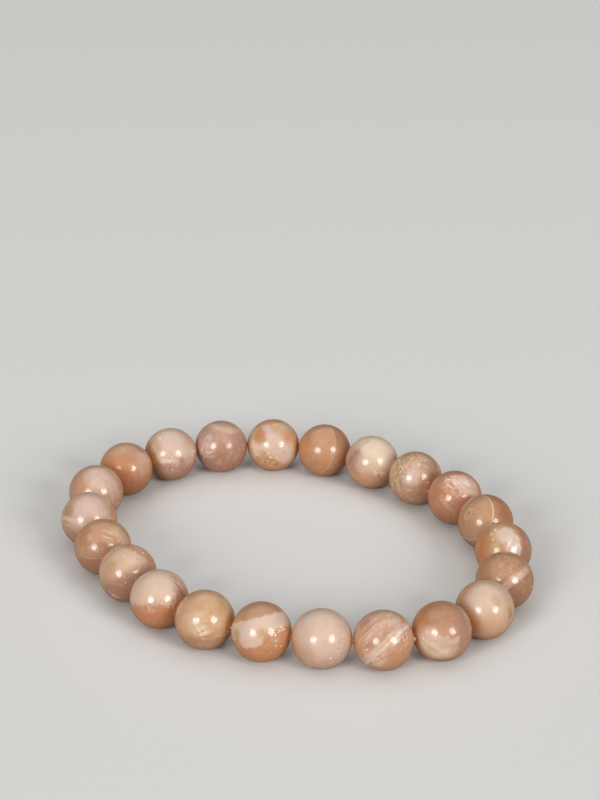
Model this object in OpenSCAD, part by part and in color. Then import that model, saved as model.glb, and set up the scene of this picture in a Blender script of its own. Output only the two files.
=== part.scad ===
// Stretch bracelet of round drilled gemstone beads on one closed elastic thread.
// It lies flat on its beads as a loop a little out of round. X and Y lie in the plane
// of the loop, Z is up, and the origin is under the middle of the loop, on the surface.

/* [Beads] */
// Diameter of each round bead
bead_d = 8; // [6:0.5:12]
// Number of beads on the thread
bead_count = 22; // [18:1:28]
// Gap between neighbouring beads
bead_gap = 0.06; // [0.04:0.01:0.1]
// Diameter of the hole through each bead
hole_d = 1; // [1:0.1:1.3]
// Width of the bevel round each mouth of the hole
hole_bevel = 0.08; // [0.05:0.01:0.2]

/* [Elastic thread] */
// Diameter of the thread
thread_d = 0.6; // [0.4:0.05:0.6]
// Flat sides of the thread
thread_sides = 8; // [6:1:12]

/* [How the loop lies] */
// Share by which the loop is longer along its long way and narrower across it
oval = 0.127; // [0:0.005:0.15]
// Direction of the long way, in degrees from +X
oval_dir = 145; // [0:5:180]
// Share by which the loop is pushed out at four places
four_bulges = 0.02; // [0:0.005:0.025]
// Direction of one of the four places
four_bulges_dir = 58; // [0:1:90]
// Share by which the loop is pushed out at five places
five_bulges = 0.013; // [0:0.001:0.015]
// Direction of one of the five places
five_bulges_dir = 18; // [0:1:72]
// Direction of the first bead, seen from the middle of the loop
first_bead_dir = 97.5; // [0:0.5:359.5]

/* [Hidden] */
$fn = 96;

function two_digits(n) = n < 10 ? str("0", n) : str(n);

cream = [0.88, 0.80, 0.69];
milky_pink = [0.86, 0.75, 0.70];
peach = [0.80, 0.58, 0.45];
caramel = [0.69, 0.46, 0.32];
mauve = [0.68, 0.48, 0.43];
clear_white = [0.93, 0.92, 0.89];

// Main tint of each bead, from the middle of the back and round by the left side
bead_tints = [
    cream, mauve, milky_pink, caramel, peach, milky_pink, caramel, cream,
    peach, caramel, peach, milky_pink, peach, caramel, cream, caramel,
    cream, caramel, peach, cream, cream, peach
];

bead_r = bead_d / 2;
hole_r = hole_d / 2;
pitch = bead_d + bead_gap;

// The loop's outline: its distance from the middle in a direction, as a share of its size
function loop_share(dir) = 1
    + oval * cos(2 * (dir - oval_dir))
    + four_bulges * cos(4 * (dir - four_bulges_dir))
    + five_bulges * cos(5 * (dir - five_bulges_dir));
function loop_point(size, dir) = size * loop_share(dir) * [cos(dir), sin(dir)];

// The step in direction that takes the next bead one pitch away, by repeated correction
function pitch_step(size, dir, step, tries) =
    tries == 0 ? step
    : let (chord = norm(loop_point(size, dir + step) - loop_point(size, dir)))
      pitch_step(size, dir, step * pitch / chord, tries - 1);
even_step = 360 / bead_count;
step_tries = 8;
function bead_dirs(size) = [
    for (i = 0, dir = first_bead_dir; i <= bead_count;
         i = i + 1, dir = dir + pitch_step(size, dir, even_step, step_tries)) dir
];

// The loop's size at which the beads, walked round it, come back to the first
function angle_walked(size) = bead_dirs(size)[bead_count] - first_bead_dir;
function closed_size(size, tries) =
    tries == 0 ? size : closed_size(size * angle_walked(size) / 360, tries - 1);
size_tries = 10;
loop_size = closed_size(bead_count * pitch / (2 * PI), size_tries);

// Bead centres, moved so that the origin is under the middle of their outline
dirs = bead_dirs(loop_size);
walked = [for (i = [0 : bead_count - 1]) loop_point(loop_size, dirs[i])];
walked_x = [for (p = walked) p.x];
walked_y = [for (p = walked) p.y];
middle = [min(walked_x) + max(walked_x), min(walked_y) + max(walked_y)] / 2;
centres = [for (p = walked) p - middle];

function wrap(i) = (i + bead_count) % bead_count;
function heading(a, b) = atan2(b.y - a.y, b.x - a.x);
function turn(from, to) = (to - from + 720) % 360;
function along(dir) = [cos(dir), sin(dir)];

// Direction from each bead to the next, and the turn that the loop makes at each bead
chord_dirs = [for (i = [0 : bead_count - 1]) heading(centres[i], centres[wrap(i + 1)])];
bead_turns = [for (i = [0 : bead_count - 1]) turn(chord_dirs[wrap(i - 1)], chord_dirs[i])];

// The thread's corner between each bead and the next: outside the point where they meet,
// since straight holes through the bead centres come out there
corners = [
    for (i = [0 : bead_count - 1])
        (centres[i] + centres[wrap(i + 1)]) / 2
        + pitch / 2 * tan((bead_turns[i] + bead_turns[wrap(i + 1)]) / 4) * along(chord_dirs[i] - 90)
];
hole_dirs = [for (i = [0 : bead_count - 1]) heading(corners[wrap(i - 1)], corners[i])];

// A ball with a bevelled hole along Z
module drilled_ball() {
    mouth_z = sqrt(bead_r * bead_r - hole_r * hole_r);
    rotate_extrude() difference() {
        circle(r = bead_r);
        translate([-bead_r, -bead_r]) square([bead_r + hole_r, bead_d]);
        for (side = [-1, 1]) polygon([
            [0, side * (mouth_z - hole_bevel)],
            [hole_r, side * (mouth_z - hole_bevel)],
            [hole_r + 2 * hole_bevel, side * (mouth_z + hole_bevel)],
            [0, side * (mouth_z + hole_bevel)]
        ]);
    }
}

module bead(i) {
    color(bead_tints[i % len(bead_tints)])
        translate([centres[i].x, centres[i].y, bead_r])
            rotate([0, 90, hole_dirs[i]]) drilled_ball();
}

// Cross-sections of the thread, each a place and a direction: it runs straight through
// each bead and bends from just before to just after each corner
bend_reach = thread_d / 2;
thread_sections = [
    for (i = [0 : bead_count - 1])
        let (dir_in = hole_dirs[i], dir_out = hole_dirs[wrap(i + 1)])
        each [
            [corners[i] - bend_reach * along(dir_in), dir_in],
            [corners[i] + bend_reach * along(dir_out), dir_out]
        ]
];

// Point k of section s, and its number in the list of points
function section_point(s, k) =
    let (angle = 360 * k / thread_sides, side = thread_sections[s][0]
        + thread_d / 2 * cos(angle) * along(thread_sections[s][1] + 90))
    [side.x, side.y, bead_r + thread_d / 2 * sin(angle)];
section_count = len(thread_sections);
function point_number(s, k) = (s % section_count) * thread_sides + k % thread_sides;

module elastic_thread() {
    color(clear_white) polyhedron(
        points = [
            for (s = [0 : section_count - 1]) for (k = [0 : thread_sides - 1]) section_point(s, k)
        ],
        faces = [
            for (s = [0 : section_count - 1]) for (k = [0 : thread_sides - 1]) [
                point_number(s, k), point_number(s, k + 1),
                point_number(s + 1, k + 1), point_number(s + 1, k)
            ]
        ]
    );
}

for (i = [0 : bead_count - 1]) bead(i);
elastic_thread();
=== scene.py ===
"""Looks of a stretch bracelet of round polished feldspar beads, seen from above its front."""
import math

import bmesh
import bpy
from mathutils import Matrix, Vector


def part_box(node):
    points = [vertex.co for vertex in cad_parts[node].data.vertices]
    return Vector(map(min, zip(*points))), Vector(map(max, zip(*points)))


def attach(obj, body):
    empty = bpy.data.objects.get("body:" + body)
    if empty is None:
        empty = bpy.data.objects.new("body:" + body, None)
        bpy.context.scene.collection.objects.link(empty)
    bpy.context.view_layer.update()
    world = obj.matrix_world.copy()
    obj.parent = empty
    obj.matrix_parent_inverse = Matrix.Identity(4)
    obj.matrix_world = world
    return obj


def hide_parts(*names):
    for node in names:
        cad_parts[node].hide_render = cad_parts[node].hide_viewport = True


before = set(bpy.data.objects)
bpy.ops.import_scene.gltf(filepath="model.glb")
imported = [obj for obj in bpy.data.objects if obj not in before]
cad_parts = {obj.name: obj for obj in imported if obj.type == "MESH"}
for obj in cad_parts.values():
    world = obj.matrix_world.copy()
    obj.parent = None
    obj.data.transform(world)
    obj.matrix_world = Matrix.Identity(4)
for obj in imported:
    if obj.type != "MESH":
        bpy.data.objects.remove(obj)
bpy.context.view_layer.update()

MM = 0.001

# The camera stands in front of the loop and looks down on it
CAMERA_PLACE = Vector((0.72, -245.77, 149.8)) * MM
CAMERA_DOWN = math.radians(26.84)
CAMERA_ROLL = math.radians(0.5)
CAMERA_NEAR = 0.01
PICTURE_SIZE = (600, 800)
FOCAL_PIXELS = 2000
SENSOR = 36.0

# Beads, as they were turned and drilled
HOLE_RADIUS = 0.5 * MM
HOLE_BEVEL = 0.08 * MM
MOUTH_ROUNDING = HOLE_BEVEL * 0.3
MOUTH_STEPS = 3
BEAD_CLEARANCE = 0.003 * MM
BEAD_STEPS_ROUND = 96
BEAD_STEPS_ALONG = 56

# The thread: it starts to bend this far from each corner, on handles this share of that long
THREAD_RADIUS = 0.29 * MM
THREAD_BEND = 0.45 * MM
THREAD_HANDLE = 0.55
THREAD_STEPS_ROUND = 5
THREAD_STEPS_ALONG = 6

# Points nearer than this are one point, and the hole's wall lies this far inside its mouth
SAME_POINT = 0.001 * MM
WALL_INSIDE = 0.01 * MM

# Lamps by azimuth and elevation, in degrees, with sizes in metres and power in watts
LEFT_LAMP = (-34, 24)
RIGHT_LAMP = (43, 25)
LAMP_AIM = Vector((0, 0, 0.004))
LAMP_DISTANCE = 3.0
LAMP_SIZE = 1.25
LAMP_POWER = 45.0
PANEL_HEIGHT = 1.6
PANEL_BACK = 0.22
PANEL_WIDTH = 3.2
PANEL_DEPTH = 3.7
PANEL_POWER = 23.0
ROOM_LIGHT = 0.1
FLOOR_REACH = 6.0


def tone(red, green, blue):
    """A colour named by its 0 to 255 values on screen, as the shaders want it."""
    def linear(value):
        share = value / 255
        return share / 12.92 if share <= 0.04045 else ((share + 0.055) / 1.055) ** 2.4
    return (linear(red), linear(green), linear(blue), 1.0)


CREAM = tone(216, 188, 156)
IVORY = tone(230, 211, 187)
MILK = tone(220, 195, 178)
BLUSH = tone(204, 168, 146)
LILAC = tone(216, 189, 183)
PEACH = tone(198, 148, 114)
HONEY = tone(198, 152, 102)
TAN = tone(187, 143, 106)
CARAMEL = tone(174, 121, 84)
SALMON = tone(196, 134, 98)
ORANGE = tone(203, 129, 78)
AMBER = tone(200, 138, 86)
RUST = tone(165, 101, 60)
MAUVE = tone(164, 117, 95)
ROSE = tone(183, 138, 119)
OLIVE = tone(182, 149, 94)
SMOKE = tone(138, 113, 97)
UMBER = tone(86, 60, 45)
GOLD = tone(255, 236, 194)
WHITE = tone(244, 228, 214)
BLACK = tone(0, 0, 0)
THREAD_DEEP = tone(212, 172, 144)
THREAD_PALE = tone(226, 194, 168)

# Values that are the same all over a surface, by the shader's own sockets
STONE_FINISH = {
    "IOR": 1.53,
    "Subsurface Weight": 0.9,
    "Subsurface Radius": (1.0, 0.55, 0.35),
    "Subsurface Scale": 3.0 * MM,
    "Coat Weight": 0.75,
    "Coat Roughness": 0.1,
    # The strength of the painted glow of the hole's wall and of the painted glints on the flecks
    "Emission Strength": 0.5,
}
STONE_RELIEF = {"Strength": 0.25, "Distance": 0.003 * MM}
THREAD_FINISH = {"Subsurface Weight": 0.4, "Subsurface Scale": 0.5 * MM}
FLOOR_FINISH = {"Base Color": tone(231, 229, 226), "Roughness": 0.7, "Specular IOR Level": 0.2}
FLOOR_THROWS = {"Color": tone(176, 160, 142)}
ROOM_FINISH = {"Color": tone(210, 212, 214), "Strength": ROOM_LIGHT}

# How rough the polished stone is, and what its grain and the ground wall of its hole add, then
# the same of the thread and its grain
POLISH = 0.36
GRAIN_ROUGHNESS = 0.1
WALL_ROUGHNESS = 0.4

THREAD_POLISH = 0.22
THREAD_ROUGHNESS = 0.2

# How strongly the ground wall of the hole is painted to glow, how far past its radius it
# shows, in bead radii, how deep its chips are, and how unevenly the painted warm glow ends
# round its mouths
PAINTED_WALL_GLOW = 0.3
WALL_EDGE = 0.03
WALL_CHIPS = 0.05
MOUTH_UNEVENNESS = 0.3

# Fibres and silk: how much of their length is taken out, and how softly the fibres begin
FIBRE_DRAW = 0.92
SILK_DRAW = 0.88
FIBRE_EDGE = 0.14

# Grains: the fineness and depth of their ragged edges, their smallest radius, how much larger
# and how much rarer the larger ones are, and the share that lies outside the clumps
RAGGED_FINENESS = 26.0
RAGGED_DEPTH = 0.16
GRAIN_RADIUS = 0.07
GRAIN_GROWTH = 0.4
GRAIN_RARITY = 3.0
STRAY_SHARE = 0.3

# How far the silk of the stone leans to the camera, in degrees
SILK_LEAN = 20

# The step from one bead to the next in the noise that they are cut from
NOISE_STEP = (7.3, 3.1, 5.7)


# Node trees

def add(tree, kind, **settings):
    """A new node with its settings."""
    node = tree.nodes.new(kind)
    for name, value in settings.items():
        setattr(node, name, value)
    return node


def feed(tree, value, socket):
    """Wires a socket to another, or sets a number, a direction or a colour on it."""
    if isinstance(value, bpy.types.NodeSocket):
        tree.links.new(value, socket)
    else:
        socket.default_value = value


def set_values(node, values):
    """Sets plain values on a node's sockets, by their names."""
    for label, value in values.items():
        node.inputs[label].default_value = value


def math_node(tree, operation, first, second=None, clamp=False):
    """One sum on values: each input is a socket or a number."""
    node = add(tree, "ShaderNodeMath", operation=operation, use_clamp=clamp)
    feed(tree, first, node.inputs[0])
    if second is not None:
        feed(tree, second, node.inputs[1])
    return node.outputs[0]


def vector_node(tree, operation, first, second=None, scale=None):
    """One sum on places and directions."""
    node = add(tree, "ShaderNodeVectorMath", operation=operation)
    feed(tree, first, node.inputs[0])
    if second is not None:
        feed(tree, second, node.inputs[1])
    if scale is not None:
        feed(tree, scale, node.inputs["Scale"])
    return node.outputs["Value" if operation in ("DOT_PRODUCT", "LENGTH") else "Vector"]


def noise(tree, place, scale, detail, roughness):
    """Noise round one half, with so many waves to a bead radius."""
    node = add(tree, "ShaderNodeTexNoise")
    feed(tree, place, node.inputs["Vector"])
    feed(tree, scale, node.inputs["Scale"])
    set_values(node, {"Detail": detail, "Roughness": roughness})
    return node.outputs["Fac"]


def fade(tree, value, start, end):
    """Rises smoothly from 0 at start to 1 at end."""
    node = add(tree, "ShaderNodeMapRange", interpolation_type="SMOOTHSTEP")
    feed(tree, value, node.inputs["Value"])
    feed(tree, start, node.inputs["From Min"])
    feed(tree, end, node.inputs["From Max"])
    return node.outputs["Result"]


def mixed(tree, amount, under, over):
    """One colour laid over another, where amount is 1."""
    node = add(tree, "ShaderNodeMix", data_type="RGBA")
    feed(tree, amount, node.inputs["Factor"])
    feed(tree, under, node.inputs["A"])
    feed(tree, over, node.inputs["B"])
    return node.outputs["Result"]


def group(name, inputs, build):
    """A named node group: inputs are (name, kind, value) rows, and build returns its outputs."""
    tree = bpy.data.node_groups.new(name, "ShaderNodeTree")
    for label, kind, value in inputs:
        socket = tree.interface.new_socket(label, in_out="INPUT", socket_type="NodeSocket" + kind)
        socket.default_value = value
    entry = add(tree, "NodeGroupInput")
    exit_node = add(tree, "NodeGroupOutput")
    for label, source in build(tree, entry.outputs).items():
        tree.interface.new_socket(label, in_out="OUTPUT", socket_type="NodeSocketFloat")
        feed(tree, source, exit_node.inputs[label])
    return tree


def wandering(tree, sockets):
    """A slow noise that is added to a distance, so that an edge in the stone isn't ruled."""
    wander = noise(tree, sockets["Place"], sockets["Grain"], detail=5.0, roughness=0.6)
    return math_node(tree, "MULTIPLY", math_node(tree, "SUBTRACT", wander, 0.5), sockets["Wander"])


def broken(tree, sockets, inside):
    """Turns a distance inside an edge into an amount, thinner in places as real milk is."""
    soft = sockets["Soft"]
    amount = fade(tree, inside, start=math_node(tree, "MULTIPLY", soft, -1.0), end=soft)
    thin = noise(tree, sockets["Place"], scale=4.5, detail=5.0, roughness=0.6)
    lost = math_node(tree, "MULTIPLY", fade(tree, thin, start=0.62, end=0.4), sockets["Break"])
    kept = math_node(tree, "SUBTRACT", 1.0, lost)
    return {"Amount": math_node(tree, "MULTIPLY", amount, kept)}


def build_side(tree, sockets):
    """The stone beyond a plane."""
    along = vector_node(tree, "DOT_PRODUCT", sockets["Place"], sockets["Toward"])
    beyond = math_node(tree, "SUBTRACT", along, sockets["At"])
    return broken(tree, sockets, math_node(tree, "ADD", beyond, wandering(tree, sockets)))


def build_band(tree, sockets):
    """A slab of the stone between two planes."""
    along = vector_node(tree, "DOT_PRODUCT", sockets["Place"], sockets["Toward"])
    off = math_node(tree, "SUBTRACT", along, sockets["At"])
    off = math_node(tree, "ABSOLUTE", math_node(tree, "ADD", off, wandering(tree, sockets)))
    return broken(tree, sockets, math_node(tree, "SUBTRACT", sockets["Half width"], off))


def stretched(tree, place, along, share):
    """The place with a share of its part along a direction taken out."""
    lengthwise = vector_node(tree, "DOT_PRODUCT", place, along)
    taken = vector_node(tree, "SCALE", along, scale=math_node(tree, "MULTIPLY", lengthwise, share))
    return vector_node(tree, "SUBTRACT", place, taken)


def build_patch(tree, sockets):
    """A rounded patch round a point, drawn out along a direction."""
    off = vector_node(tree, "SUBTRACT", sockets["Place"], sockets["Middle"])
    share = math_node(tree, "SUBTRACT", 1.0, math_node(tree, "DIVIDE", 1.0, sockets["Length"]))
    distance = vector_node(tree, "LENGTH", stretched(tree, off, sockets["Along"], share))
    distance = math_node(tree, "ADD", distance, wandering(tree, sockets))
    return broken(tree, sockets, math_node(tree, "SUBTRACT", sockets["Size"], distance))


def build_streaks(tree, sockets):
    """Fine fibres that run along a direction."""
    squeezed = stretched(tree, sockets["Place"], sockets["Along"], FIBRE_DRAW)
    fibres = noise(tree, squeezed, sockets["Fineness"], detail=5.0, roughness=0.65)
    full = math_node(tree, "ADD", sockets["Sparseness"], FIBRE_EDGE)
    return {"Amount": fade(tree, fibres, start=sockets["Sparseness"], end=full)}


def build_grains(tree, sockets):
    """Small scattered grains of three lots: which are there, their sizes, and which lie alone."""
    ragged = add(tree, "ShaderNodeTexNoise")
    feed(tree, sockets["Place"], ragged.inputs["Vector"])
    set_values(ragged, {"Scale": RAGGED_FINENESS})
    shift = vector_node(tree, "SUBTRACT", ragged.outputs["Color"], (0.5, 0.5, 0.5))
    shift = vector_node(tree, "SCALE", shift, scale=RAGGED_DEPTH)
    cells = add(tree, "ShaderNodeTexVoronoi", feature="F1", distance="EUCLIDEAN")
    feed(tree, vector_node(tree, "ADD", sockets["Place"], shift), cells.inputs["Vector"])
    feed(tree, sockets["Fineness"], cells.inputs["Scale"])
    lots = add(tree, "ShaderNodeSeparateColor")
    feed(tree, cells.outputs["Color"], lots.inputs[0])
    there, large, alone = lots.outputs
    chosen = math_node(tree, "LESS_THAN", there, sockets["Share"])
    size = math_node(tree, "MULTIPLY", math_node(tree, "POWER", large, GRAIN_RARITY), GRAIN_GROWTH)
    size = math_node(tree, "ADD", size, GRAIN_RADIUS)
    edge = math_node(tree, "SUBTRACT", size, cells.outputs["Distance"])
    grain = math_node(tree, "MULTIPLY", fade(tree, edge, start=-0.04, end=0.08), chosen)
    clumps = noise(tree, sockets["Place"], scale=4.0, detail=3.0, roughness=0.6)
    clumps = fade(tree, clumps, start=0.42, end=0.52)
    strays = math_node(tree, "LESS_THAN", alone, STRAY_SHARE)
    return {"Amount": math_node(tree, "MULTIPLY", grain, math_node(tree, "MAXIMUM", clumps, strays))}


def build_body(tree, sockets):
    """What runs through every one of the stones: milk, mottling, grain, silk and healed cracks."""
    place = sockets["Place"]
    clouds = noise(tree, place, scale=1.5, detail=4.0, roughness=0.55)
    mottle = noise(tree, place, scale=3.0, detail=5.0, roughness=0.6)
    grain = noise(tree, place, scale=13.0, detail=4.0, roughness=0.7)
    squeezed = stretched(tree, place, sockets["Silk along"], SILK_DRAW)
    silk = noise(tree, squeezed, scale=8.0, detail=5.0, roughness=0.62)
    bends = noise(tree, place, scale=1.9, detail=4.0, roughness=0.55)
    off = math_node(tree, "ABSOLUTE", math_node(tree, "SUBTRACT", bends, 0.5))
    cracks = fade(tree, off, start=0.009, end=0.002)
    cracked = noise(tree, place, scale=2.6, detail=2.0, roughness=0.5)
    return {
        "Clouds": fade(tree, clouds, start=0.38, end=0.64),
        "Mottle": fade(tree, mottle, start=0.42, end=0.66),
        "Grain": fade(tree, grain, start=0.36, end=0.68),
        "Silk": fade(tree, silk, start=0.48, end=0.68),
        "Cracks": math_node(tree, "MULTIPLY", cracks, fade(tree, cracked, start=0.5, end=0.6)),
    }


def build_bore(tree, sockets):
    """The ground wall of the drilled hole, and a painted warm glow round both its mouths."""
    place = sockets["Place"]
    distance = vector_node(tree, "LENGTH", stretched(tree, place, sockets["Along"], share=1.0))
    chips = noise(tree, place, scale=14.0, detail=2.0, roughness=0.5)
    chips = math_node(tree, "MULTIPLY", chips, WALL_CHIPS)
    chipped = math_node(tree, "ADD", sockets["Radius"], chips)
    inside = math_node(tree, "SUBTRACT", chipped, distance)
    uneven = noise(tree, place, scale=3.0, detail=4.0, roughness=0.6)
    uneven = math_node(tree, "MULTIPLY", uneven, MOUTH_UNEVENNESS)
    reach = math_node(tree, "ADD", distance, uneven)
    return {
        "Wall": fade(tree, inside, start=-0.01, end=0.015),
        "Painted mouth glow": fade(tree, reach, start=0.75, end=0.3),
    }


PLACE = ("Place", "Vector", (0, 0, 0))
ALONG = ("Along", "Vector", (1, 0, 0))
TOWARD = ("Toward", "Vector", (0, 1, 0))
AT = ("At", "Float", 0.0)
EDGE = (
    ("Soft", "Float", 0.05),
    ("Wander", "Float", 0.1),
    ("Grain", "Float", 2.5),
    ("Break", "Float", 0.3),
)
GROUPS = {
    "side": group("stone beyond a plane", [PLACE, TOWARD, AT, *EDGE], build_side),
    "band": group("stone between two planes", [
        PLACE, TOWARD, AT, ("Half width", "Float", 0.1), *EDGE], build_band),
    "patch": group("patch in the stone", [
        PLACE, ("Middle", "Vector", (0, 0, 1)), ALONG, ("Length", "Float", 1.0),
        ("Size", "Float", 0.3), *EDGE], build_patch),
    "streaks": group("fibres in the stone", [
        PLACE, ALONG, ("Fineness", "Float", 9.0), ("Sparseness", "Float", 0.5)], build_streaks),
    "grains": group("scattered grains", [
        PLACE, ("Fineness", "Float", 11.0), ("Share", "Float", 0.4)], build_grains),
    "body": group("feldspar body", [PLACE, ("Silk along", "Vector", (1, 0, 0))], build_body),
    "bore": group("drilled hole", [PLACE, ALONG, ("Radius", "Float", 0.16)], build_bore),
}


# Directions and places on a bead, in bead radii: x to the right, y up, z to the camera's place

def heading(clock, lean=0.0):
    """A direction at so many degrees anticlockwise from the right, leaning to the camera."""
    turn, tip = math.radians(clock), math.radians(lean)
    return Vector((math.cos(turn) * math.cos(tip), math.sin(turn) * math.cos(tip), math.sin(tip)))


def on_face(x, y):
    """The point of the bead's near surface at x and y."""
    return Vector((x, y, math.sqrt(max(0.0, 1.0 - x * x - y * y))))


def camera_frame(centre):
    """The turn from a bead's x, y and z, as the camera sees them, to the frame's."""
    toward = (CAMERA_PLACE - centre).normalized()
    right = Vector((math.cos(CAMERA_ROLL), 0, 0)) + Vector((0, 0, math.sin(CAMERA_ROLL)))
    up = toward.cross(right).normalized()
    right = up.cross(toward).normalized()
    return Matrix((right, up, toward)).transposed()


class Stone:
    """The material of one bead: a body colour, with layers laid into it one by one."""

    def __init__(self, name, centre, radius, hole_along, tints, silk, number):
        self.material = bpy.data.materials.new(name)
        self.material.use_nodes = True
        self.tree = self.material.node_tree
        self.tree.nodes.clear()
        coordinates = add(self.tree, "ShaderNodeTexCoord")
        mapping = add(self.tree, "ShaderNodeMapping", vector_type="TEXTURE")
        feed(self.tree, coordinates.outputs["Object"], mapping.inputs["Vector"])
        turn = camera_frame(centre)
        set_values(mapping, {
            "Location": centre, "Rotation": turn.to_euler("XYZ"), "Scale": (radius, radius, radius)})
        self.place = mapping.outputs["Vector"]
        # Noise is read elsewhere for each bead, so that no two share their clouds
        cut_from = tuple(number * step for step in NOISE_STEP)
        self.own = vector_node(self.tree, "ADD", self.place, cut_from)
        self.flecks_and_painted_glints = None
        self.colour, clouds, deep = tints
        clock, silkiness = silk
        self.body = self.masks("body", own=True, Silk_along=heading(clock, SILK_LEAN))
        self.lay(clouds, self.body["Clouds"], mix=0.55)
        self.lay(deep, self.body["Mottle"], mix=0.35)
        self.lay(WHITE, self.body["Silk"], mix=silkiness)
        # Painted glow: the stone is painted warmer at the mouths of the hole, standing in for light
        # that passes between two beads
        along = turn.inverted() @ hole_along
        self.bore = self.masks("bore", Along=along, Radius=HOLE_RADIUS / radius + WALL_EDGE)
        self.lay(ORANGE, self.bore["Painted mouth glow"], mix=0.75)

    def masks(self, kind, own=False, **values):
        """All that a group puts out, with values on its sockets."""
        node = add(self.tree, "ShaderNodeGroup", node_tree=GROUPS[kind])
        feed(self.tree, self.own if own else self.place, node.inputs["Place"])
        set_values(node, {label.replace("_", " "): value for label, value in values.items()})
        return node.outputs

    def mask(self, kind, own=False, **values):
        """The one amount that a group of a single output gives."""
        return self.masks(kind, own, **values)["Amount"]

    def times(self, first, second):
        """One amount thinned by another."""
        return math_node(self.tree, "MULTIPLY", first, second)

    def lay(self, colour, amount, mix=1.0):
        """Lays a colour over what is there, where amount is 1."""
        self.colour = mixed(self.tree, self.times(amount, mix), self.colour, colour)

    def side(self, colour, clock, at, lean=0.0, soft=0.1, wander=0.22, grain=2.5, gaps=0.35,
             mix=0.9):
        """The stone beyond a plane that faces clock, at so far from the middle."""
        mask = self.mask("side", Toward=heading(clock, lean), At=at, Soft=soft, Wander=wander,
                         Grain=grain, Break=gaps)
        self.lay(colour, mask, mix)

    def band(self, colour, clock, at, width, lean=0.0, soft=0.08, wander=0.2, grain=2.5, gaps=0.35,
             mix=0.9, within=None):
        """A slab across the direction clock, at so far from the middle."""
        mask = self.mask("band", Toward=heading(clock, lean), At=at, Half_width=width / 2,
                         Soft=soft, Wander=wander, Grain=grain, Break=gaps)
        if within is not None:
            mask = self.times(mask, within)
        self.lay(colour, mask, mix)

    def line(self, clock, at, lean=0.0, colour=WHITE, width=0.025, wander=0.06, mix=0.85,
             within=None):
        """A cleavage as a thin bright line: partly its own pale colour, partly painted light it
        catches.
        """
        self.band(colour, clock, at, width, lean, soft=0.02, wander=wander, grain=2.0, gaps=0.5,
                  mix=mix, within=within)

    def region(self, x, y, size, soft=0.12, wander=0.2, grain=2.5, gaps=0.0, clock=0.0, length=1.0):
        """The amount inside a patch round x and y, length times as long along clock as across."""
        return self.mask("patch", Middle=on_face(x, y), Along=heading(clock), Length=length,
                         Size=size, Soft=soft, Wander=wander, Grain=grain, Break=gaps)

    def patch(self, colour, x, y, size, soft=0.12, wander=0.25, grain=2.5, gaps=0.35, clock=0.0,
              length=1.0, mix=0.9):
        """A rounded patch of colour."""
        self.lay(colour, self.region(x, y, size, soft, wander, grain, gaps, clock, length), mix)

    def feather(self, colour, x, y, size, clock, length=1.6, fine=9.0, sparse=0.46,
                mix=0.8):
        """A patch of fibres that run along clock."""
        patch = self.region(x, y, size, soft=0.14, wander=0.25, grain=3.0, clock=clock, length=length)
        fibres = self.mask("streaks", Along=heading(clock), Fineness=fine, Sparseness=sparse)
        self.lay(colour, self.times(patch, fibres), mix)

    def grains(self, x, y, size, soft, share, fine, clock, length):
        """The amount of scattered grains in a patch."""
        patch = self.region(x, y, size, soft=soft, grain=4.0, clock=clock, length=length)
        return self.times(patch, self.mask("grains", own=True, Fineness=fine, Share=share))

    def flecks(self, x, y, size, share=0.5, fine=12.0, colour=GOLD, clock=0.0, length=1.0,
               mix=1.0):
        """Bright platelets that lie in a patch, with a painted glint on them."""
        flecks_and_painted_glints = self.grains(x, y, size, 0.1, share, fine, clock, length)
        self.lay(colour, flecks_and_painted_glints, mix)
        if self.flecks_and_painted_glints is None:
            self.flecks_and_painted_glints = flecks_and_painted_glints
        else:
            self.flecks_and_painted_glints = math_node(self.tree, "MAXIMUM", self.flecks_and_painted_glints, flecks_and_painted_glints)

    def specks(self, x, y, size, share=0.3, fine=14.0, colour=SMOKE, clock=0.0, length=1.0,
               mix=0.7):
        """Dull grains that lie in a patch."""
        self.lay(colour, self.grains(x, y, size, 0.15, share, fine, clock, length), mix)

    def finish(self):
        """The fine grain, the ground hole, the polish and the shader."""
        tree = self.tree
        grain, wall = self.body["Grain"], self.bore["Wall"]
        self.lay(WHITE, self.body["Cracks"], mix=0.25)
        self.lay(RUST, self.mask("grains", own=True, Fineness=11.0, Share=0.05), mix=0.4)
        self.lay(IVORY, grain, mix=0.07)
        self.lay(BLUSH, wall, mix=0.6)
        shader = add(tree, "ShaderNodeBsdfPrincipled")
        set_values(shader, STONE_FINISH)
        feed(tree, self.colour, shader.inputs["Base Color"])
        rough = math_node(tree, "ADD", POLISH, self.times(grain, GRAIN_ROUGHNESS))
        rough = math_node(tree, "ADD", rough, self.times(wall, WALL_ROUGHNESS), clamp=True)
        feed(tree, rough, shader.inputs["Roughness"])
        # Painted glow: the wall of the hole glows faintly, standing in for light from the next bead,
        # and the flecks get a painted glint
        glow = mixed(tree, self.times(wall, PAINTED_WALL_GLOW), BLACK, ORANGE)
        if self.flecks_and_painted_glints is not None:
            glow = mixed(tree, self.flecks_and_painted_glints, glow, GOLD)
        feed(tree, glow, shader.inputs["Emission Color"])
        relief = add(tree, "ShaderNodeBump")
        set_values(relief, STONE_RELIEF)
        feed(tree, grain, relief.inputs["Height"])
        feed(tree, relief.outputs["Normal"], shader.inputs["Normal"])
        output = add(tree, "ShaderNodeOutputMaterial")
        feed(tree, shader.outputs[0], output.inputs["Surface"])
        return self.material


# The look of each bead, from the middle of the back and round by the left side. Sides, bands
# and lines give their direction and distance, and the other layers x, y and size. The deeper
# sides toward the bottom and the thin orange, rust and salmon sides at the rims are partly the
# stone's own colour and partly painted shade, with painted glow where one bead meets the next.

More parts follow.
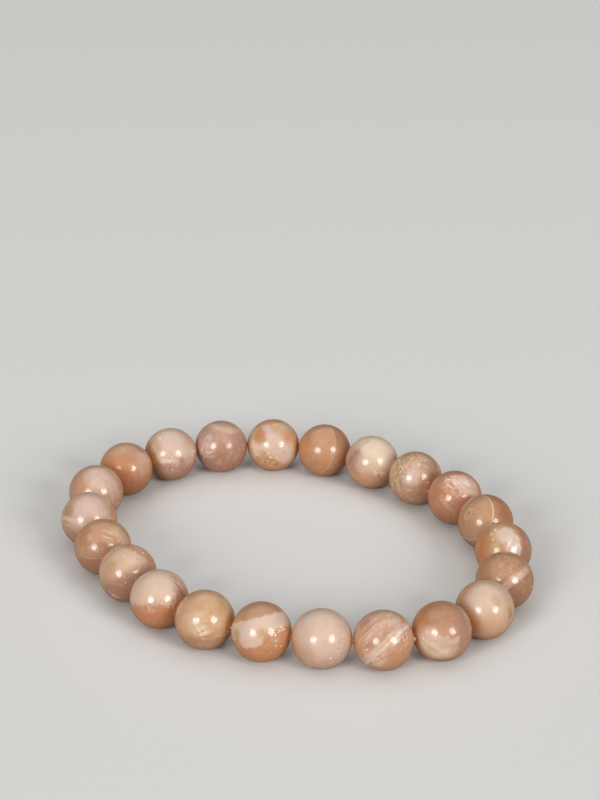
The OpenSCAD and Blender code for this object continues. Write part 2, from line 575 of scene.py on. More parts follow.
def look_01(stone):
    stone.side(HONEY, 80, 0.3, soft=0.25, mix=0.5)
    stone.patch(MILK, -0.05, -0.02, 0.35, soft=0.2, clock=-20, length=1.6, mix=0.8)
    stone.patch(WHITE, -0.72, -0.08, 0.26, soft=0.1, wander=0.4, clock=-40, length=1.5, mix=0.8)
    stone.patch(MILK, 0.5, -0.42, 0.34, soft=0.1, wander=0.4, clock=-25, length=1.6, mix=1.0)
    stone.patch(ORANGE, 0.62, 0.3, 0.25, soft=0.2, wander=0.5, mix=0.45)
    stone.patch(ORANGE, -0.52, 0.36, 0.26, soft=0.1, wander=0.5, clock=75, length=1.4, mix=0.8)
    stone.patch(OLIVE, -0.37, 0.22, 0.12, soft=0.05, mix=0.8)
    stone.band(LILAC, 38, 0.19, 0.22, soft=0.05, mix=1.0, within=stone.region(-0.15, 0.5, 0.55))
    stone.side(ORANGE, 100, 0.8, soft=0.08, mix=0.7)
    stone.side(ORANGE, 178, 0.82, mix=0.6)
    stone.side(ORANGE, 5, 0.8, soft=0.12, mix=0.6)
    stone.side(ORANGE, -100, 0.6, wander=0.4, mix=0.75)
    stone.patch(OLIVE, -0.3, -0.5, 0.24, soft=0.1, wander=0.4, clock=-25, length=2.0, mix=0.55)
    stone.specks(-0.15, -0.5, 0.42, share=0.7, fine=11.0, colour=CARAMEL, length=1.5)
    stone.flecks(-0.35, -0.55, 0.36, share=0.9, fine=11.0, clock=-20, length=1.6)
    stone.flecks(-0.3, -0.5, 0.36, fine=17.0, clock=-20, length=1.6)
    stone.flecks(0.35, -0.82, 0.16, share=0.8, length=1.6)


def look_02(stone):
    stone.side(BLUSH, 95, 0.2, soft=0.3, mix=0.35)
    # Painted reflection and glow: a pale crescent across the top rim
    stone.band(CREAM, 80, 0.82, 0.14, lean=15, soft=0.05, mix=0.75)
    stone.specks(0.0, 0.4, 0.7, share=0.6, fine=11.0, mix=0.4)
    stone.side(MAUVE, -65, -0.05, soft=0.25, mix=0.6)
    stone.patch(LILAC, -0.55, 0.0, 0.3, soft=0.2, wander=0.5, clock=70, length=1.4, mix=0.45)
    stone.feather(WHITE, -0.68, 0.05, 0.28, 70, fine=7.0, mix=0.6)
    stone.feather(WHITE, -0.45, -0.25, 0.16, 30)
    stone.patch(BLUSH, -0.08, -0.6, 0.1, soft=0.07, clock=85, length=2.5, mix=0.7)
    stone.specks(-0.25, 0.45, 0.4, share=0.5, colour=UMBER, mix=0.4)


def look_03(stone):
    stone.band(MILK, 25, 0.1, 0.9, lean=-10, soft=0.15, gaps=0.1, mix=0.75)
    stone.side(HONEY, 208, 0.5, soft=0.05, wander=0.1, gaps=0.1)
    stone.line(28, -0.5, colour=CREAM, width=0.03, within=stone.region(-0.4, -0.3, 0.75))
    stone.patch(CREAM, -0.66, 0.25, 0.16, soft=0.08, wander=0.4, mix=0.6)
    stone.side(ORANGE, 192, 0.76, soft=0.12, mix=0.8)
    stone.side(ROSE, -75, 0.26, soft=0.12, gaps=0.1, mix=1.0)
    stone.patch(MILK, 0.75, 0.0, 0.3, soft=0.1, wander=0.4, clock=90, length=1.5, mix=0.7)
    stone.band(WHITE, 88, -0.28, 0.16, soft=0.04, mix=0.75, within=stone.region(-0.02, -0.3, 0.34))
    stone.feather(WHITE, 0.0, -0.5, 0.24, 80, fine=12.0, mix=0.7)
    stone.feather(SMOKE, 0.05, -0.45, 0.2, 85, fine=15.0, mix=0.6)
    stone.flecks(-0.4, 0.5, 0.14, share=0.7, colour=WHITE)
    stone.specks(0.75, -0.1, 0.25, share=0.5, mix=0.5)
    stone.flecks(0.88, 0.1, 0.2, share=0.9, clock=90, length=1.4)


def look_04(stone):
    stone.side(TAN, 97, 0.5, lean=10, wander=0.35, mix=0.85)
    stone.side(CREAM, 110, 0.62, soft=0.2, mix=0.45)
    stone.band(AMBER, 92, 0.36, 0.34, lean=15, soft=0.12, wander=0.35, gaps=0.1)
    stone.side(RUST, -100, 0.35, soft=0.3, mix=0.5)
    stone.patch(BLUSH, 0.66, 0.25, 0.32, soft=0.1, wander=0.4, clock=100, length=1.7)
    stone.patch(MILK, 0.66, 0.4, 0.2, soft=0.08, wander=0.4, mix=0.7)
    stone.specks(0.2, 0.6, 0.4, share=0.4, mix=0.5)
    stone.flecks(0.88, 0.2, 0.16, share=0.9, colour=WHITE)


def look_05(stone):
    stone.side(TAN, 185, 0.3, soft=0.25, mix=0.6)
    stone.patch(MILK, 0.25, 0.45, 0.55, soft=0.2, clock=-40, length=1.4, mix=0.7)
    stone.line(18, 0.12, lean=-25, colour=IVORY, width=0.02, mix=0.5)
    stone.side(CARAMEL, 10, 0.82, mix=0.6)
    stone.specks(0.66, -0.1, 0.3, share=0.6, clock=90, length=1.6, mix=0.6)
    stone.line(35, 0.86, colour=SALMON, width=0.03)


def look_06(stone):
    stone.patch(LILAC, 0.0, 0.25, 0.55, soft=0.25, clock=60, length=1.2, mix=0.55)
    stone.side(ORANGE, 0, 0.66, lean=-8, soft=0.04, mix=0.55)
    stone.patch(CARAMEL, -0.8, 0.2, 0.28, soft=0.1, clock=90, length=1.3, mix=0.6)
    stone.band(IVORY, 62, -0.45, 0.14, lean=-10, soft=0.05, mix=0.75)
    stone.side(MAUVE, -118, 0.6, soft=0.08, mix=0.7)
    stone.feather(WHITE, 0.58, 0.12, 0.14, 70, fine=12.0, mix=0.9)
    stone.specks(0.32, 0.47, 0.05, share=1.0, colour=UMBER)


def look_07(stone):
    stone.side(PEACH, 60, 0.3, soft=0.3, mix=0.5)
    stone.band(CARAMEL, 96, 0.42, 0.16, lean=20, soft=0.06, wander=0.3, mix=0.65,
               within=stone.region(-0.1, 0.45, 0.55))
    stone.feather(CREAM, 0.62, 0.42, 0.3, 120, fine=7.0, sparse=0.4, mix=0.85)
    stone.feather(IVORY, 0.35, 0.35, 0.22, 160, fine=8.0, mix=0.7)
    stone.patch(BLUSH, -0.45, 0.3, 0.1, soft=0.06, clock=95, length=2.0, mix=0.6)
    stone.side(MAUVE, -88, 0.24, lean=-8, soft=0.04, wander=0.1, mix=0.7)
    stone.line(92, -0.27, lean=8, colour=CREAM, width=0.04, within=stone.region(-0.2, -0.28, 0.55))
    stone.side(ORANGE, 150, 0.84, soft=0.08, mix=0.5)


def look_08(stone):
    stone.patch(CREAM, 0.0, 0.48, 0.5, soft=0.2, clock=20, length=1.4, mix=0.55)
    stone.patch(MILK, 0.15, 0.5, 0.2, wander=0.5, clock=-10, length=1.8, mix=0.7)
    stone.patch(HONEY, -0.55, 0.2, 0.22, mix=0.6)
    stone.side(MAUVE, -65, -0.06, soft=0.25, wander=0.5, gaps=0.2, mix=0.85)
    stone.band(ORANGE, 60, 0.8, 0.14, soft=0.05, mix=0.75)
    stone.patch(WHITE, -0.5, -0.74, 0.09, soft=0.05, clock=-30, length=2.4, mix=0.8)
    stone.line(-105, 0.45, colour=CREAM, width=0.03, mix=0.5, within=stone.region(-0.4, -0.35, 0.35))
    stone.flecks(0.25, 0.82, 0.2, share=0.9, length=1.6)
    stone.flecks(0.62, 0.6, 0.2, share=0.9)
    stone.flecks(0.03, -0.25, 0.2, share=0.8, fine=14.0, clock=40, length=1.6)
    stone.specks(0.5, 0.4, 0.3, share=0.9, fine=11.0, colour=UMBER, mix=0.55)
    stone.specks(-0.4, 0.5, 0.5, share=0.5, fine=12.0, mix=0.6)


def look_09(stone):
    stone.side(ORANGE, -80, 0.35, soft=0.3, mix=0.3)
    stone.side(MILK, 93, -0.1, lean=4, soft=0.12, wander=0.5, grain=9.0, gaps=0.1, mix=1.0)
    stone.side(CREAM, 93, 0.05, lean=4, soft=0.3, gaps=0.0, mix=0.3)
    stone.feather(CARAMEL, -0.2, -0.12, 0.3, 90, length=0.7, fine=12.0, sparse=0.48, mix=0.7)
    stone.feather(MILK, -0.3, -0.28, 0.35, 90, length=0.6, fine=12.0, sparse=0.5, mix=0.5)
    stone.patch(SALMON, 0.7, -0.05, 0.35, soft=0.1, wander=0.5, clock=60, length=1.3, mix=0.8)
    stone.feather(CARAMEL, 0.72, 0.42, 0.3, 120, fine=10.0, sparse=0.44)
    stone.specks(0.72, 0.42, 0.34, share=0.7, clock=120, length=1.4, mix=0.6)
    stone.feather(WHITE, 0.35, 0.02, 0.2, 70, fine=10.0)
    stone.flecks(0.3, -0.12, 0.22, share=0.8, fine=13.0, clock=20, length=1.6)


def look_10(stone):
    stone.patch(CREAM, -0.35, -0.05, 0.4, soft=0.2, wander=0.5, mix=0.75)
    stone.patch(CREAM, 0.1, 0.62, 0.26, soft=0.2, clock=-20, length=1.8, mix=0.55)
    stone.side(MAUVE, -86, 0.38, lean=-12, soft=0.06, mix=0.6)
    stone.line(97, -0.42, lean=14, colour=CREAM, width=0.035, within=stone.region(0.4, -0.38, 0.55))
    stone.line(80, -0.35, lean=8, colour=CREAM, width=0.03,
               within=stone.region(-0.5, -0.35, 0.35), mix=0.6)
    stone.feather(WHITE, -0.1, -0.42, 0.16, 20, fine=10.0, mix=0.9)
    stone.feather(WHITE, -0.15, -0.4, 0.12, -60, fine=12.0, mix=0.7)
    stone.flecks(-0.85, 0.32, 0.14, share=0.8)
    stone.flecks(0.72, 0.16, 0.14, share=0.7, clock=30, length=1.8)
    stone.flecks(-0.45, -0.72, 0.18)


def look_11(stone):
    stone.side(ROSE, 95, 0.62, lean=10, mix=0.7)
    stone.patch(HONEY, 0.05, 0.55, 0.3, clock=8, length=2.0, mix=0.6)
    stone.band(MILK, 104, 0.22, 0.54, soft=0.05, wander=0.25, grain=3.5, gaps=0.1, mix=1.0)
    stone.patch(MILK, -0.38, -0.22, 0.36, soft=0.06, wander=0.35, grain=3.5, gaps=0.1,
                clock=20, length=1.6, mix=1.0)
    stone.patch(HONEY, 0.1, -0.08, 0.16, soft=0.1, clock=-10, length=1.8, mix=0.75)
    stone.patch(OLIVE, -0.3, 0.5, 0.14, soft=0.08, clock=15, length=1.8, mix=0.7)
    stone.patch(OLIVE, 0.2, 0.62, 0.1, soft=0.08, mix=0.5)
    stone.patch(OLIVE, -0.82, -0.1, 0.2, soft=0.1, wander=0.5, mix=0.75)
    stone.side(ORANGE, -85, 0.5, soft=0.06, wander=0.25, mix=0.6)
    stone.side(ORANGE, -5, 0.72, mix=0.6)
    stone.flecks(0.6, -0.12, 0.22, share=1.0, fine=11.0, clock=60, length=1.5)
    stone.flecks(0.55, -0.25, 0.3, share=0.6, fine=16.0, clock=70, length=1.5)
    stone.flecks(0.4, -0.5, 0.2)


def look_12(stone):
    stone.side(MILK, 90, -1.2, gaps=0.2, mix=0.8)
    stone.patch(CREAM, 0.0, 0.9, 0.35, soft=0.2, mix=0.5)
    stone.side(HONEY, 190, 0.75, soft=0.15, wander=0.4, mix=0.5)
    stone.side(ROSE, -70, 0.66, soft=0.2, wander=0.5, mix=0.5)
    stone.side(PEACH, 5, 0.8, soft=0.15, wander=0.3, mix=0.5)
    stone.side(ORANGE, 205, 0.88, soft=0.08, mix=0.5)
    stone.specks(-0.1, 0.0, 1.0, share=0.6, fine=8.0, colour=BLUSH)
    stone.patch(ROSE, -0.5, -0.55, 0.3, soft=0.2, wander=0.6, mix=0.5)
    stone.specks(0.2, -0.6, 0.6, share=0.7, fine=11.0, colour=SALMON)
    stone.specks(0.3, -0.7, 0.4, fine=22.0, colour=MAUVE)
    stone.flecks(0.5, -0.65, 0.3, share=0.4, fine=18.0, colour=WHITE)
    stone.flecks(0.78, 0.05, 0.2, share=0.6, fine=15.0)
    stone.specks(0.08, 0.06, 0.05, share=1.0, fine=12.0, colour=UMBER)


def look_13(stone):
    stone.patch(CARAMEL, 0.1, 0.1, 0.3, clock=42, length=2.5, mix=0.45)
    stone.feather(MILK, 0.0, 0.55, 0.5, 42, fine=5.0, sparse=0.44, mix=0.6)
    stone.side(PEACH, -48, 0.24, soft=0.06, gaps=0.0)
    stone.band(MILK, -48, 0.13, 0.26, soft=0.06, wander=0.3, gaps=0.4,
               within=stone.region(0.1, -0.2, 0.95, clock=42, length=2.0))
    stone.band(WHITE, -48, 0.19, 0.07, soft=0.03, wander=0.1, gaps=0.5, mix=0.8,
               within=stone.region(0.2, -0.1, 0.8, clock=42, length=2.0))
    stone.feather(WHITE, 0.6, 0.1, 0.3, 42, fine=7.0, mix=0.7)
    stone.feather(MILK, -0.3, -0.62, 0.32, 42, fine=7.0, sparse=0.4, mix=0.9)
    stone.band(MAUVE, -45, 0.27, 0.03, soft=0.02, mix=0.6, within=stone.region(0.7, 0.3, 0.3))
    stone.specks(0.88, 0.1, 0.2, share=0.7, colour=WHITE, clock=90, length=1.5)
    stone.flecks(-0.5, -0.22, 0.24, share=0.6, clock=30, length=1.5)


def look_14(stone):
    stone.side(CARAMEL, 85, 0.1, soft=0.25, mix=0.5)
    stone.side(ORANGE, 165, 0.55, soft=0.2, mix=0.6)
    stone.feather(RUST, -0.1, 0.6, 0.4, 5, length=1.8, fine=6.0, mix=0.3)
    stone.side(ROSE, -8, 0.42, soft=0.15, mix=0.75)
    stone.patch(MILK, -0.25, -0.5, 0.5, soft=0.2, wander=0.6, clock=-30, length=1.5, mix=0.75)
    stone.patch(MILK, -0.35, -0.2, 0.22, soft=0.15, wander=0.6, clock=-50, length=1.4, mix=0.6)
    stone.feather(IVORY, -0.25, -0.55, 0.42, -30, fine=5.0, sparse=0.42, mix=0.7)
    stone.patch(IVORY, 0.42, -0.32, 0.12, soft=0.06, clock=20, length=2.0, mix=0.75)
    stone.feather(IVORY, 0.2, -0.72, 0.2, 20, fine=8.0, mix=0.6)
    stone.side(MAUVE, -90, 0.9, soft=0.08, mix=0.5)
    stone.specks(-0.36, 0.43, 0.05, share=1.0, colour=RUST)
    stone.flecks(-0.66, -0.08, 0.26, share=0.9)


def look_15(stone):
    stone.side(CREAM, 70, -0.5, soft=0.25, mix=0.7)
    stone.patch(MILK, 0.0, 0.4, 0.5, soft=0.25, clock=10, length=1.4, mix=0.8)
    stone.side(ORANGE, 145, 0.75, soft=0.12, mix=0.5)
    stone.patch(HONEY, -0.45, -0.3, 0.26, clock=-60, length=1.8, mix=0.7)
    stone.patch(OLIVE, 0.38, 0.3, 0.15, soft=0.1, clock=90, length=1.6, mix=0.55)
    stone.side(PEACH, -88, 0.35, soft=0.3, mix=0.5)
    stone.side(ORANGE, -85, 0.85, soft=0.08, mix=0.4)
    stone.patch(OLIVE, 0.85, -0.1, 0.14, soft=0.06, clock=80, length=2.0, mix=0.8)
    stone.patch(SMOKE, 0.87, -0.18, 0.05, soft=0.05, clock=80, length=2.0, mix=0.8)


def look_16(stone):
    stone.patch(HONEY, -0.6, 0.4, 0.3, soft=0.2, mix=0.5)
    stone.specks(-0.1, 0.45, 0.8, share=0.8, fine=13.0, colour=CREAM, mix=0.6)
    stone.specks(0.1, 0.5, 0.6, share=0.35, fine=13.0, colour=RUST, mix=0.45)
    stone.flecks(-0.1, 0.45, 0.7, share=0.12, fine=17.0)
    stone.side(MAUVE, -52, 0.28, soft=0.05, mix=0.7)
    stone.band(MILK, -52, 0.17, 0.24, soft=0.07, wander=0.3,
               within=stone.region(0.5, 0.02, 0.5, clock=38, length=1.8))
    stone.flecks(0.93, -0.03, 0.2, share=1.0, colour=WHITE, clock=90, length=1.5)
    stone.flecks(0.0, 0.94, 0.14, share=0.8, length=2.0)


def look_17(stone):
    stone.side(ORANGE, 182, 0.5, soft=0.25, mix=0.85)
    stone.patch(OLIVE, -0.3, 0.25, 0.3, soft=0.18, wander=0.6, clock=90, length=1.3, mix=0.55)
    stone.patch(IVORY, -0.1, 0.55, 0.25, soft=0.2, mix=0.5)
    stone.side(MAUVE, 5, 0.44, lean=-10, soft=0.04, wander=0.2, mix=0.85)
    stone.patch(MILK, 0.24, 0.42, 0.36, soft=0.07, wander=0.5, grain=4.0, gaps=0.15, clock=112,
                length=1.9, mix=1.0)
    stone.feather(WHITE, 0.4, 0.2, 0.26, 60, mix=0.85)
    stone.patch(SALMON, -0.02, 0.05, 0.14, soft=0.06, wander=0.4, clock=60, length=1.8, mix=0.6)
    stone.band(SALMON, 40, 0.75, 0.12, soft=0.06, mix=0.5)
    stone.flecks(-0.36, 0.67, 0.14, share=0.8)
    stone.flecks(-0.5, 0.05, 0.4, share=0.15, clock=90, length=1.4)


def look_18(stone):
    stone.side(RUST, -24, -0.52, lean=-43, soft=0.03, wander=0.06, gaps=0.2, mix=0.6)
    stone.line(-24, -0.53, lean=-43, colour=IVORY, width=0.045, mix=0.95)
    stone.patch(CREAM, -0.62, 0.3, 0.17, soft=0.05, clock=65, length=1.5, mix=0.85)
    stone.patch(TAN, -0.6, 0.3, 0.08, soft=0.05, wander=0.2, clock=65, length=1.5)
    stone.patch(BLUSH, -0.1, -0.3, 0.4, soft=0.25, mix=0.4)
    stone.patch(HONEY, -0.15, 0.35, 0.3, soft=0.25, clock=70, length=1.5, mix=0.5)
    stone.side(ORANGE, 165, 0.84, mix=0.5)
    stone.patch(BLUSH, -0.5, -0.5, 0.4, soft=0.3, mix=0.5)


def look_19(stone):
    stone.patch(MILK, 0.5, 0.5, 0.38, wander=0.4, clock=-30, length=1.5)
    stone.feather(WHITE, 0.1, 0.55, 0.4, -40)
    stone.feather(MILK, -0.1, 0.25, 0.4, 50, sparse=0.5, mix=0.5)
    for at in (-0.28, -0.2):
        stone.line(42, at, lean=10, width=0.022,
                   within=stone.region(-0.15, -0.3, 0.3, clock=-48, length=1.5))
    stone.line(55, -0.6, colour=CREAM, width=0.022, mix=0.6, within=stone.region(-0.5, -0.45, 0.35))
    stone.side(RUST, -90, 0.6, soft=0.25, mix=0.4)
    stone.side(RUST, 95, 0.86, soft=0.06, mix=0.4)


def look_20(stone):
    # Partly the stone's milky lilac, partly a painted bloom round the left highlight
    stone.patch(LILAC, -0.2, 0.05, 0.34, soft=0.18, wander=0.5)
    stone.patch(OLIVE, -0.7, 0.1, 0.4, soft=0.2, wander=0.6, clock=80, length=1.5, mix=0.5)
    stone.patch(MAUVE, 0.55, 0.45, 0.35, soft=0.15, wander=0.6, clock=120, length=1.3, mix=0.7)
    stone.patch(ROSE, -0.2, -0.7, 0.4, soft=0.2, wander=0.5, mix=0.7)
    stone.patch(CARAMEL, 0.5, -0.4, 0.4, soft=0.2, wander=0.6, mix=0.5)
    stone.feather(IVORY, 0.1, 0.6, 0.45, 40, fine=14.0, sparse=0.5)
    stone.feather(IVORY, -0.6, 0.0, 0.45, 100, fine=14.0, sparse=0.5, mix=0.75)
    stone.specks(-0.1, 0.0, 1.0, share=0.8, fine=9.0, colour=IVORY, mix=0.6)
    stone.specks(0.2, 0.2, 0.9, share=0.4, fine=12.0, mix=0.6)
    stone.flecks(-0.72, 0.5, 0.24, share=1.0, clock=60, length=1.5)
    stone.flecks(-0.55, -0.1, 0.34, share=0.7, fine=13.0, clock=80, length=1.8)
    stone.flecks(0.4, -0.35, 0.22, share=1.0, clock=110, length=1.8)
    stone.flecks(0.1, -0.7, 0.3, fine=14.0, colour=IVORY, length=1.4)


def look_21(stone):
    stone.side(IVORY, 55, 0.05, soft=0.25, gaps=0.1)
    stone.patch(ROSE, -0.72, 0.0, 0.42, soft=0.2, wander=0.6, clock=90, length=1.4, mix=0.85)
    stone.patch(MILK, -0.35, -0.15, 0.3, mix=0.7)
    stone.band(SMOKE, 140, 0.62, 0.1, lean=-5, soft=0.06, wander=0.4, grain=4.0, gaps=0.6, mix=0.5)
    stone.side(PEACH, -85, 0.4, soft=0.15, mix=0.75)
    stone.side(SALMON, -65, 0.8, mix=0.6)
    stone.side(ORANGE, 0, 0.85, soft=0.08, mix=0.5)
    stone.feather(WHITE, 0.35, -0.36, 0.22, -35, fine=8.0, mix=0.9)
    stone.feather(CARAMEL, 0.3, -0.45, 0.2, -35, sparse=0.5, mix=0.7)
    stone.specks(-0.45, 0.75, 0.3, share=0.7, colour=UMBER, mix=0.5)
    stone.flecks(-0.05, 0.92, 0.14, share=0.6, colour=WHITE, length=2.0)


def look_22(stone):
    stone.side(MAUVE, -12, -0.2, lean=-36, soft=0.03, wander=0.06, gaps=0.2, mix=0.75)
    stone.line(-12, -0.21, lean=-36, colour=CREAM, width=0.04, mix=0.9)
    stone.side(CARAMEL, 0, 0.45, lean=10, mix=0.4)
    stone.patch(AMBER, 0.8, -0.3, 0.3, soft=0.15, clock=75, length=1.5, mix=0.8)
    stone.patch(AMBER, -0.85, 0.1, 0.36, soft=0.18, mix=0.8)
    stone.side(SALMON, 92, 0.85, soft=0.07, mix=0.7)
    stone.side(CARAMEL, -90, 0.35, soft=0.3, mix=0.35)
    stone.specks(-0.22, -0.25, 0.05, share=1.0, colour=WHITE)


# Body, cloud and deep tints of each bead, the direction and strength of its silk, and its look
BEAD_LOOKS = [
    ((CREAM, BLUSH, HONEY), (30, 0.15), look_01),
    ((ROSE, BLUSH, MAUVE), (70, 0.25), look_02),
    ((BLUSH, MILK, PEACH), (80, 0.25), look_03),
    ((SALMON, AMBER, RUST), (20, 0.08), look_04),
    ((BLUSH, PEACH, TAN), (105, 0.25), look_05),
    ((BLUSH, MILK, PEACH), (60, 0.1), look_06),
    ((TAN, PEACH, CARAMEL), (100, 0.15), look_07),
    ((BLUSH, CREAM, TAN), (20, 0.12), look_08),
    ((SALMON, PEACH, CARAMEL), (10, 0.05), look_09),
    ((HONEY, CREAM, PEACH), (10, 0.15), look_10),
    ((PEACH, HONEY, SALMON), (10, 0.1), look_11),
    ((BLUSH, MILK, MILK), (60, 0.15), look_12),
    ((PEACH, CREAM, CARAMEL), (42, 0.45), look_13),
    ((TAN, PEACH, CARAMEL), (5, 0.2), look_14),
    ((BLUSH, CREAM, HONEY), (70, 0.1), look_15),
    ((TAN, CARAMEL, CARAMEL), (38, 0.15), look_16),
    ((HONEY, CREAM, SALMON), (80, 0.15), look_17),
    ((TAN, PEACH, CARAMEL), (110, 0.1), look_18),
    ((SALMON, PEACH, CARAMEL), (-40, 0.2), look_19),
    ((TAN, CREAM, ROSE), (85, 0.3), look_20),
    ((CREAM, BLUSH, PEACH), (150, 0.15), look_21),
    ((PEACH, HONEY, SALMON), (80, 0.1), look_22),
]


# Meshes

def make_piece(name, mesh_source, material, node):
    """Turns a bmesh into a piece that rides on the bracelet and stands for a CAD node."""
    mesh = bpy.data.meshes.new(name)
    mesh_source.to_mesh(mesh)
    mesh_source.free()
    mesh.polygons.foreach_set("use_smooth", [True] * len(mesh.polygons))
    mesh.materials.append(material)
    piece = bpy.data.objects.new(name, mesh)
    bpy.context.scene.collection.objects.link(piece)
    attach(piece, "root")
    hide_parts(node)
    return piece


def turned_bead(centre, radius, hole_along):
    """A ball turned round its hole, with a rounded bevel at both mouths."""
    bead = bmesh.new()
    edge_reach = HOLE_RADIUS + HOLE_BEVEL
    edge_angle = math.asin(edge_reach / radius)
    edge_height = radius * math.cos(edge_angle)
    first = bead.verts.new((edge_reach, 0, edge_height))
    bmesh.ops.spin(bead, geom=[first], cent=(0, 0, 0), axis=(0, 1, 0), dvec=(0, 0, 0),
                   angle=math.pi - 2 * edge_angle, steps=BEAD_STEPS_ALONG, use_merge=False)
    bead.verts.ensure_lookup_table()
    last = min(bead.verts, key=lambda vertex: vertex.co.z)
    wall_height = edge_height - HOLE_BEVEL
    top = bead.verts.new((HOLE_RADIUS, 0, wall_height))
    bottom = bead.verts.new((HOLE_RADIUS, 0, -wall_height))
    for pair in ((first, top), (top, bottom), (bottom, last)):
        bead.edges.new(pair)
    bmesh.ops.spin(bead, geom=[*bead.verts, *bead.edges], cent=(0, 0, 0), axis=(0, 0, 1),
                   dvec=(0, 0, 0), angle=2 * math.pi, steps=BEAD_STEPS_ROUND, use_merge=True)
    bmesh.ops.remove_doubles(bead, verts=bead.verts, dist=SAME_POINT)

    def on_ball(vertex):
        return abs(abs(vertex.co.z) - edge_height) < SAME_POINT

    def on_wall(vertex):
        at_height = abs(abs(vertex.co.z) - wall_height) < SAME_POINT
        return at_height and vertex.co.xy.length < edge_reach - WALL_INSIDE

    mouths = [
        edge for edge in bead.edges
        if all(map(on_ball, edge.verts)) or all(map(on_wall, edge.verts))
    ]
    bmesh.ops.bevel(bead, geom=mouths, offset=MOUTH_ROUNDING, affect="EDGES", segments=MOUTH_STEPS,
                    profile=0.5, material=-1)
    bmesh.ops.recalc_face_normals(bead, faces=bead.faces)
    turn = hole_along.to_track_quat("Z", "Y").to_matrix().to_4x4()
    bmesh.ops.transform(bead, matrix=Matrix.Translation(centre) @ turn, verts=bead.verts)
    return bead


def thread_corners(centres):
    """Where the thread bends between two beads: outside the point where they meet."""
    count = len(centres)
    chords = [centres[(i + 1) % count] - centres[i] for i in range(count)]
    turns = [chords[i - 1].xy.angle_signed(chords[i].xy) for i in range(count)]
    corners = []
    for i in range(count):
        turn = -(turns[i] + turns[(i + 1) % count]) / 4
        outward = chords[i].cross(Vector((0, 0, 1))).normalized()
        middle = (centres[i] + centres[(i + 1) % count]) / 2
        corners.append(middle + outward * chords[i].length / 2 * math.tan(turn))
    return corners


def elastic_material():
    """Clear stretch thread with a faint grain."""
    material = bpy.data.materials.new("clear elastic")
    material.use_nodes = True
    tree = material.node_tree
    shader = tree.nodes["Principled BSDF"]
    set_values(shader, THREAD_FINISH)
    coordinates = add(tree, "ShaderNodeTexCoord")
    grain = noise(tree, coordinates.outputs["Object"], scale=900.0, detail=4.0, roughness=0.6)
    tint = mixed(tree, grain, THREAD_DEEP, THREAD_PALE)
    feed(tree, tint, shader.inputs["Base Color"])
    rough = math_node(tree, "MULTIPLY", grain, THREAD_ROUGHNESS)
    feed(tree, math_node(tree, "ADD", THREAD_POLISH, rough), shader.inputs["Roughness"])
    return material


def thread_tube(corners):
    """A round tube along the thread, straight in each bead and rounded at each corner."""
    curve = bpy.data.curves.new("thread path", "CURVE")
    curve.dimensions = "3D"
    curve.bevel_depth = THREAD_RADIUS
    curve.bevel_resolution = THREAD_STEPS_ROUND
    curve.resolution_u = THREAD_STEPS_ALONG
    spline = curve.splines.new("BEZIER")
    count = len(corners)
    spline.bezier_points.add(2 * count - 1)
    spline.use_cyclic_u = True
    for i, corner in enumerate(corners):
        before = (corners[i - 1] - corner).normalized() * THREAD_BEND
        after = (corners[(i + 1) % count] - corner).normalized() * THREAD_BEND
        # The thread comes in along before, so there its left handle points away from the corner
        for number, reach, away in ((2 * i, before, 1), (2 * i + 1, after, -1)):
            point = spline.bezier_points[number]
            point.co = corner + reach
            point.handle_left_type = "FREE"
            point.handle_right_type = "FREE"
            point.handle_left = point.co + reach * away * THREAD_HANDLE
            point.handle_right = point.co - reach * away * THREAD_HANDLE
    path = bpy.data.objects.new("thread path", curve)
    bpy.context.scene.collection.objects.link(path)
    bpy.context.view_layer.update()
    evaluated = path.evaluated_get(bpy.context.evaluated_depsgraph_get())
    mesh = bpy.data.meshes.new_from_object(evaluated)
    bpy.data.objects.remove(path)
    tube = bmesh.new()
    tube.from_mesh(mesh)
    bpy.data.meshes.remove(mesh)
    bmesh.ops.remove_doubles(tube, verts=tube.verts, dist=SAME_POINT)
    bmesh.ops.recalc_face_normals(tube, faces=tube.faces)
    return tube


def make_bracelet():
    """Every bead and the thread, where the CAD nodes lie."""
    names = sorted(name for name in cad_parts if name.startswith("bead_"))
    boxes = [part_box(name) for name in names]
    centres = [(low + high) / 2 for low, high in boxes]
    corners = thread_corners(centres)
    for i, name in enumerate(names):
        low, high = boxes[i]
        radius = (high.z - low.z) / 2 - BEAD_CLEARANCE
        hole_along = (corners[i] - corners[i - 1]).normalized()
        tints, silk, look = BEAD_LOOKS[i]
        stone = Stone(name + " stone", centres[i], radius, hole_along, tints, silk, i + 1)
        look(stone)
        bead = turned_bead(centres[i], radius, hole_along)
        piece = make_piece("stone_" + name, bead, stone.finish(), name)
    thread = make_piece("stretch_thread", thread_tube(corners), elastic_material(), "elastic_thread")


# Surroundings

def pale_floor():
    """A plain floor, pale to the camera."""
    floor = bmesh.new()
    bmesh.ops.create_grid(floor, x_segments=2, y_segments=2, size=FLOOR_REACH)
    mesh = bpy.data.meshes.new("floor")
    floor.to_mesh(mesh)
    floor.free()
    material = bpy.data.materials.new("pale floor")
    material.use_nodes = True
    tree = material.node_tree
    seen = tree.nodes["Principled BSDF"]
    set_values(seen, FLOOR_FINISH)
    # The floor throws a dimmer, warmer light up at the beads than so pale a one would
    thrown = add(tree, "ShaderNodeBsdfDiffuse")
    set_values(thrown, FLOOR_THROWS)
    rays = add(tree, "ShaderNodeLightPath")
    both = add(tree, "ShaderNodeMixShader")
    feed(tree, rays.outputs["Is Camera Ray"], both.inputs["Fac"])
    feed(tree, thrown.outputs[0], both.inputs[1])
    feed(tree, seen.outputs[0], both.inputs[2])
    feed(tree, both.outputs[0], tree.nodes["Material Output"].inputs["Surface"])
    mesh.materials.append(material)
    piece = bpy.data.objects.new("floor", mesh)
    bpy.context.scene.collection.objects.link(piece)


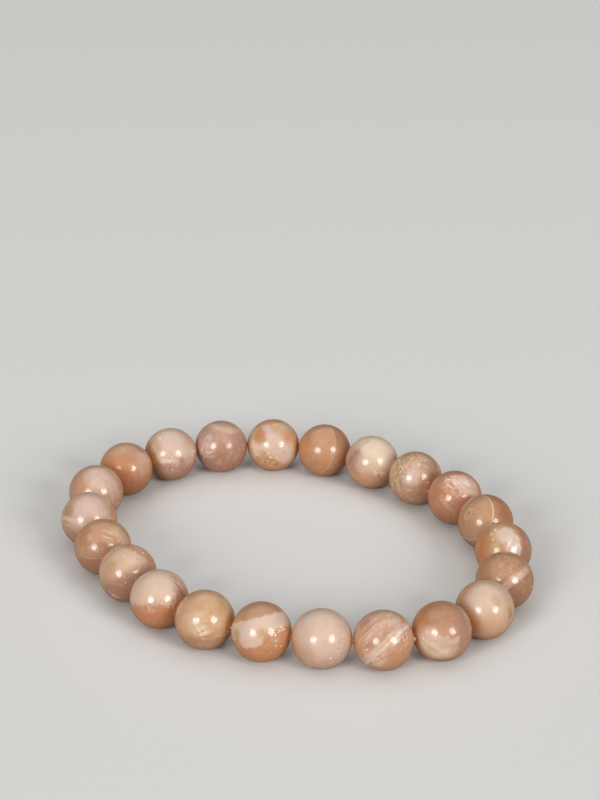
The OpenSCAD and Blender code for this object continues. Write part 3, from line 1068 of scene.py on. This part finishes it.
def lamp(name, place, aim, size, power, depth=None):
    """A round soft lamp, or an oblong one if its depth is given."""
    light = bpy.data.lights.new(name, "AREA")
    light.shape = "DISK" if depth is None else "RECTANGLE"
    light.size = size
    if depth is not None:
        light.size_y = depth
    light.energy = power
    piece = bpy.data.objects.new(name, light)
    piece.visible_camera = False
    piece.location = place
    piece.rotation_euler = (aim - place).to_track_quat("-Z", "Y").to_euler()
    bpy.context.scene.collection.objects.link(piece)


def around(azimuth, elevation):
    """A place for a lamp: azimuth 0 is in front of the bracelet, and grows to the right."""
    turn, lift = math.radians(azimuth), math.radians(elevation)
    return LAMP_DISTANCE * Vector((
        math.sin(turn) * math.cos(lift), -math.cos(turn) * math.cos(lift), math.sin(lift)))


def studio():
    """Two round lamps left and right of the camera, one broad overhead panel and a dim room."""
    lamp("left lamp", around(*LEFT_LAMP), LAMP_AIM, LAMP_SIZE, LAMP_POWER)
    lamp("right lamp", around(*RIGHT_LAMP), LAMP_AIM, LAMP_SIZE, LAMP_POWER)
    lamp("overhead panel", Vector((0, PANEL_BACK, PANEL_HEIGHT)), Vector((0, PANEL_BACK, 0)),
         PANEL_WIDTH, PANEL_POWER, PANEL_DEPTH)
    world = bpy.data.worlds.new("dim room")
    world.use_nodes = True
    set_values(world.node_tree.nodes["Background"], ROOM_FINISH)
    bpy.context.scene.world = world


def set_camera():
    """The camera, with the picture's frame and its long side's field of view."""
    data = bpy.data.cameras.new("camera")
    data.sensor_width = SENSOR
    data.lens = FOCAL_PIXELS / max(PICTURE_SIZE) * SENSOR
    data.clip_start = CAMERA_NEAR
    camera = bpy.data.objects.new("camera", data)
    look_down = Matrix.Rotation(math.pi / 2 - CAMERA_DOWN, 4, "X")
    roll = Matrix.Rotation(CAMERA_ROLL, 4, "Z")
    camera.matrix_world = Matrix.Translation(CAMERA_PLACE) @ look_down @ roll
    bpy.context.scene.collection.objects.link(camera)
    bpy.context.scene.camera = camera


set_camera()
make_bracelet()
pale_floor()
studio()
bpy.context.scene.view_settings.view_transform = "Standard"
